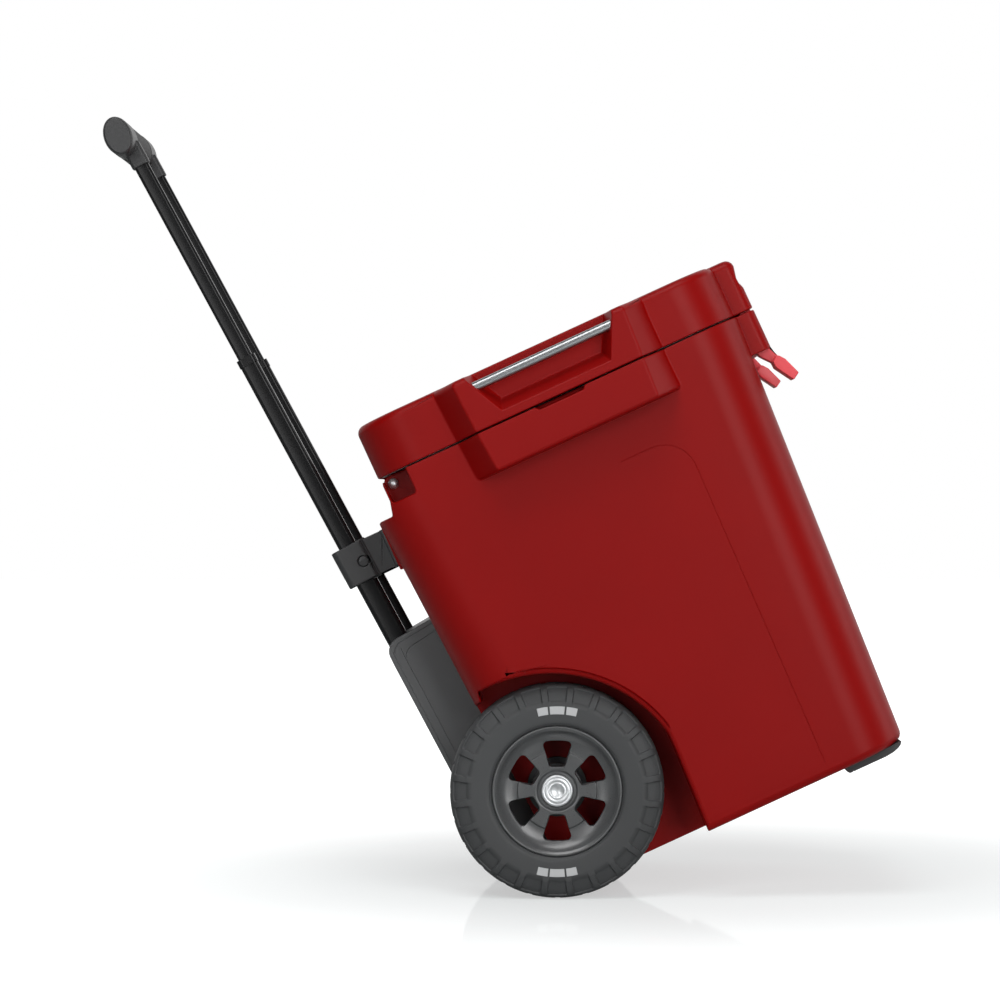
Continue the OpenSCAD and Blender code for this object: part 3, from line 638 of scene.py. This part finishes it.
def build_bracket():
    top = 396.0
    bracket = None
    for s in (-1, 1):
        ring = on_pole(s, 357, (35, 30, 7), 39.1, "bracket")
        arm = plate("arm", [(pole_x(357) + 8, 357), (-51.2, 357), (-51.2, top), (pole_x(top) + 8, top)],
                    *sorted((s * (POLE_Y - 12.6), s * (POLE_Y + 12.6))))
        combine(ring, [arm], "UNION")
        bracket = ring if bracket is None else combine(bracket, [ring], "UNION")
    combine(bracket, [box("bar", -54.2, -49.7, -100, 100, 358, 395)], "UNION")
    combine(bracket, [on_pole(s, 340, (21.6, 17.1, 5.05), 80) for s in (-1, 1)])
    combine(bracket, [rod("seat", SCREW_X, SCREW_Z, 5.4, *sorted((s * 88.2, s * 98))) for s in (-1, 1)])
    bracket.name = "pole_bracket"
    return dress(soften(bracket, 1.4, merge=False), "dark_plastic", "body", "clamp_bracket")


TUBES = {"outer": (21.5, 17.0, 5.0, "body"), "middle": (18.0, 13.4, 4.2, "middle_stage"),
         "inner": (14.6, 10.0, 3.4, "top_stage")}


def build_tubes():
    for stage, (deep, wide, corner, body) in TUBES.items():
        for side, word in ((-1, "right"), (1, "left")):
            node = f"{stage}_tube_{word}"
            low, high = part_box(node)
            tilt = deep / 2 * math.sin(LEAN)
            z0, z1 = low[2] / MM + tilt, high[2] / MM - tilt
            length = (z1 - z0) / math.cos(LEAN)
            tube = on_pole(side, z0, (deep, wide, corner), length, node + "_skin", end_round=0.3)
            bore = on_pole(side, z0 - 2, (deep - 3, wide - 3, corner - 1.5), length + 4)
            combine(tube, [bore])
            dress(smooth(tube, 40), "black_tube", body, node)


def build_pins():
    half = max(abs(v[1]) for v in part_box("hinge_pin")) / MM
    turns = [i * math.pi / 20 for i in range(10)]
    dome = [(5.15 * math.cos(a), half - 5.2 + 5.15 * math.sin(a)) for a in turns]
    end = [(3.9, half - 5.2)] + dome + [(0.05, half - 0.05)]
    pin = revolve("hinge_pin_skin", [(r, -w) for r, w in reversed(end)] + end, 0, 40, HINGE_X, HINGE_Z)
    dress(smooth(pin, 40), "steel", "body", "hinge_pin", mat=CHROME)
    screws = []
    for s in (-1, 1):
        low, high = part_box("clamp_screws")
        face = high[1] / MM
        head = [(0.05, face), (3.9, face), (4.7, face - 0.3), (5.1, face - 0.9), (5.1, face - 2.1),
                (0.05, face - 2.1)]
        screw = revolve("clamp_screw", head, 0, 40, SCREW_X, SCREW_Z)
        combine(screw, [box("slot", -90, -70, -face - 1, -face + 1.1, 375.1, 376.7)])
        if s > 0:
            screw.data.transform(Matrix.Scale(-1, 4, (0, 1, 0)))
            screw.data.flip_normals()
        screws.append(screw)
    combine(screws[0], [screws[1]], "UNION")
    screws[0].name = "clamp_screws_skin"
    dress(smooth(screws[0], 35), "dark_steel", "body", "clamp_screws")


def oval(y, grow, n=48):
    ca, sa = math.cos(math.radians(-4)), math.sin(math.radians(-4))
    pts = []
    for i in range(n):
        a = 2 * math.pi * i / n
        x, z = (13.9 + grow) * math.cos(a), (19.4 + grow) * math.sin(a)
        pts.append(V(GRIP_X + x * ca - z * sa, y, GRIP_Z + x * sa + z * ca))
    return pts


def build_grip():
    stop = POLE_Y - 14
    sleeve = from_rings("grip_sleeve_skin", [oval(-stop + 0.2, -0.9), oval(-stop + 1.2, -0.4)] + [
        oval(y, -0.4) for y in range(-56, 57, 8)] + [oval(stop - 1.2, -0.4), oval(stop - 0.2, -0.9)])
    hole = plate("button_hole", round_rect(GRIP_X - 5.4, GRIP_X + 5.4, 853, 890, 1.5, 4), -19.4, 19.4)
    core = from_rings("grip_inner", [oval(-70, -2.15), oval(70, -2.15)])
    combine(sleeve, [core, hole])
    dress(soften(sleeve, 0.4, angle=40, segments=2), "grip_rubber", "top_stage", "grip_sleeve")
    ends = []
    for s in (-1, 1):
        steps = ((stop, -0.6), (stop + 0.8, 0), (103, 0), (107, 0), (109.2, -0.45), (110.8, -1.2),
                 (111.7, -2.1), (112, -3.0))
        end = from_rings("grip_end", [oval(s * y, g) for y, g in steps])
        socket = on_pole(s, 817, (18.4, 15, 4), 24, "socket", end_round=0.8)
        combine(end, [socket], "UNION")
        ends.append(end)
    middle = from_rings("grip_middle", [oval(-stop - 0.4, -2.4), oval(stop + 0.4, -2.4)])
    combine(middle, ends, "UNION")
    combine(middle, [plate("button_way", round_rect(-129.8, -119.0, 841, 890, 1.5, 4), -19.4, 19.4)])
    combine(middle, [on_pole(s, 812, (14.7, 10.1, 3.45), 15.2) for s in (-1, 1)])
    middle.name = "grip_core_skin"
    dress(soften(middle, 0.7, angle=35), "dark_plastic", "top_stage", "grip_core", "grip_cap_right",
          "grip_cap_left")


# ---- latches and feet -------------------------------------------------------------------

def build_latch():
    y0, y1 = -155.0, -129.0
    strap = plate("latch_near", [(347, 470), (349, 472), (354, 472), (356, 470), (358.5, 440),
                                 (360.6, 399), (364.2, 389), (361, 386), (356.5, 385), (351, 391.5),
                                 (347.6, 396), (347, 410)], y0, y1)
    grip = plate("pull", [(364.6, 388.5), (368.9, 382.8), (375.2, 365.6), (368.2, 361.3), (357.4, 378.9),
                          (357, 385.2), (361.5, 388.6)], -164, -120)
    combine(strap, [grip, rod("eye", 351.5, 466, 5, y0, y1)], "UNION")
    combine(strap, [rod("eye_hole", 351.5, 466, 2.55, -200, -100, 24)])
    soften(strap, 1.0)
    far = mirrored(strap, "latch_far")
    dress(strap, "red_rubber", "pull_latch_right", "latch_right")
    dress(far, "red_rubber", "pull_latch_left", "latch_left")


def build_feet():
    outline = [(257, BASE_Z), (257, 2.4), (259, 0), (297, 0), (305, 0.9), (310, 2.4), (314, 4.6),
               (316, BASE_Z)]
    foot = plate("foot_near", outline, -184, -118)
    holes = []
    for y in (-168, -134):
        ring = [(4.5 * math.cos(a), 4.5 * math.sin(a)) for a in [i * math.pi / 12 for i in range(24)]]
        holes.append(from_rings("hole", [[V(277 + a, y + b, z) for a, b in ring] for z in (-2, 2.6)]))
        holes.append(plate("tread", [(262, -1), (263, 0.8), (264, -1)], -190, -112))
    combine(foot, holes)
    soften(foot, 0.5)
    far = mirrored(foot, "foot_far")
    dress(foot, "black_rubber", "body", "foot_right")
    dress(far, "black_rubber", "body", "foot_left")


build_body()
build_lid()
build_wheels()
build_housing()
build_bracket()
build_tubes()
build_pins()
build_grip()
build_latch()
build_feet()


# ---- floor, light and camera ------------------------------------------------------------

def camera():
    data = bpy.data.cameras.new("camera")
    obj = bpy.data.objects.new("camera", data)
    bpy.context.scene.collection.objects.link(obj)
    data.sensor_width = 36
    data.lens = 133.5
    data.shift_x, data.shift_y = -0.057, -0.0115
    data.clip_end = 100
    obj.location = (0.00075, -3.7, 0.3614)
    turn = Vector(RIGHT), Vector(UP), Vector(OUT)
    rot = [[turn[c][r] for c in range(3)] for r in range(3)]
    obj.matrix_world = Matrix.Translation(obj.location) @ Matrix(rot).to_4x4()
    bpy.context.scene.camera = obj


def floor():
    """A plain white floor just touching the wheels as the cooler leans back on them."""
    base = V(0, 0, AXLE_Z) - UP * (AXLE_Z * MM + 0.0004)
    bm = bmesh.new()
    corners = [base + RIGHT * a + OUT * b for a, b in ((-9, -12), (9, -12), (9, 6), (-9, 6))]
    bm.faces.new([bm.verts.new(c) for c in corners])
    bmesh.ops.recalc_face_normals(bm, faces=bm.faces)
    mesh = bpy.data.meshes.new("floor")
    bm.to_mesh(mesh)
    bm.free()
    obj = link("floor", mesh)
    if obj.data.polygons[0].normal.dot(UP) < 0:
        obj.data.flip_normals()
    mat = bpy.data.materials.new("floor_white")
    mat.use_nodes = True
    nodes, links = mat.node_tree.nodes, mat.node_tree.links
    nodes.clear()
    out = nodes.new("ShaderNodeOutputMaterial")
    diffuse = nodes.new("ShaderNodeBsdfDiffuse")
    diffuse.inputs["Color"].default_value = (0.41, 0.44, 0.44, 1)
    glow = nodes.new("ShaderNodeEmission")
    coord = nodes.new("ShaderNodeTexCoord")
    reach = nodes.new("ShaderNodeVectorMath")
    reach.operation = "DISTANCE"
    reach.inputs[1].default_value = base + RIGHT * 0.15
    links.new(coord.outputs["Object"], reach.inputs[0])
    grade = nodes.new("ShaderNodeMapRange")
    grade.interpolation_type = "SMOOTHSTEP"
    grade.inputs["From Min"].default_value, grade.inputs["From Max"].default_value = 0.2, 1.1
    grade.inputs["To Min"].default_value, grade.inputs["To Max"].default_value = 0.58, 1.2
    links.new(reach.outputs["Value"], grade.inputs["Value"])
    links.new(grade.outputs["Result"], glow.inputs["Strength"])
    add = nodes.new("ShaderNodeAddShader")
    gloss = nodes.new("ShaderNodeBsdfGlossy")
    gloss.inputs["Roughness"].default_value = 0.04
    mix = nodes.new("ShaderNodeMixShader")
    mix.inputs[0].default_value = 0.14
    clear = nodes.new("ShaderNodeBsdfTransparent")
    path = nodes.new("ShaderNodeLightPath")
    geometry = nodes.new("ShaderNodeNewGeometry")
    under = nodes.new("ShaderNodeMixShader")
    camera_glow = nodes.new("ShaderNodeMixShader")
    links.new(path.outputs["Is Camera Ray"], camera_glow.inputs[0])
    links.new(diffuse.outputs[0], camera_glow.inputs[1])
    links.new(diffuse.outputs[0], add.inputs[0])
    links.new(glow.outputs[0], add.inputs[1])
    links.new(add.outputs[0], camera_glow.inputs[2])
    links.new(camera_glow.outputs[0], mix.inputs[1])
    links.new(gloss.outputs[0], mix.inputs[2])
    links.new(geometry.outputs["Backfacing"], under.inputs[0])
    links.new(mix.outputs[0], under.inputs[1])
    links.new(clear.outputs[0], under.inputs[2])
    links.new(under.outputs[0], out.inputs["Surface"])
    obj.data.materials.append(mat)


def softbox(name, right, up, out, width, height, power, target=(0, 0, 0.36)):
    data = bpy.data.lights.new(name, "AREA")
    data.shape, data.size, data.size_y, data.energy = "RECTANGLE", width, height, power
    obj = bpy.data.objects.new(name, data)
    bpy.context.scene.collection.objects.link(obj)
    obj.location = Vector(target) + RIGHT * right + UP * up + OUT * out
    obj.rotation_mode = "QUATERNION"
    obj.rotation_quaternion = (Vector(target) - obj.location).to_track_quat("-Z", "Y")


def world():
    w = bpy.data.worlds.new("studio")
    bpy.context.scene.world = w
    w.use_nodes = True
    nodes, links = w.node_tree.nodes, w.node_tree.links
    nodes.clear()
    out = nodes.new("ShaderNodeOutputWorld")
    path = nodes.new("ShaderNodeLightPath")
    seen = nodes.new("ShaderNodeBackground")
    seen.inputs["Color"].default_value = (1, 1, 1, 1)
    seen.inputs["Strength"].default_value = 1.0
    coord = nodes.new("ShaderNodeTexCoord")
    split = nodes.new("ShaderNodeSeparateXYZ")
    links.new(coord.outputs["Generated"], split.inputs[0])
    grade = nodes.new("ShaderNodeMapRange")
    grade.interpolation_type = "SMOOTHSTEP"
    grade.inputs["From Min"].default_value, grade.inputs["From Max"].default_value = 0.2, 0.9
    grade.inputs["To Min"].default_value, grade.inputs["To Max"].default_value = 0.03, 1.0
    links.new(split.outputs["Y"], grade.inputs["Value"])
    fill = nodes.new("ShaderNodeBackground")
    fill.inputs["Color"].default_value = (1, 1, 1, 1)
    links.new(grade.outputs["Result"], fill.inputs["Strength"])
    mix = nodes.new("ShaderNodeMixShader")
    links.new(path.outputs["Is Camera Ray"], mix.inputs[0])
    links.new(fill.outputs[0], mix.inputs[1])
    links.new(seen.outputs[0], mix.inputs[2])
    links.new(mix.outputs[0], out.inputs["Surface"])


bpy.context.scene.view_settings.view_transform = "Standard"
camera()
floor()
world()
softbox("key", -0.4, 2.7, 1.5, 2.4, 1.4, 48)
softbox("low_fill", 0.6, -1.6, 2.6, 2.4, 0.8, 6)
softbox("left_front", -1.1, 0.4, 2.5, 0.8, 2.4, 18)
softbox("right_front", 1.15, 0.4, 2.5, 1.1, 2.4, 38)
softbox("right_side", 2.3, 0.5, -0.2, 0.7, 2.4, 16)
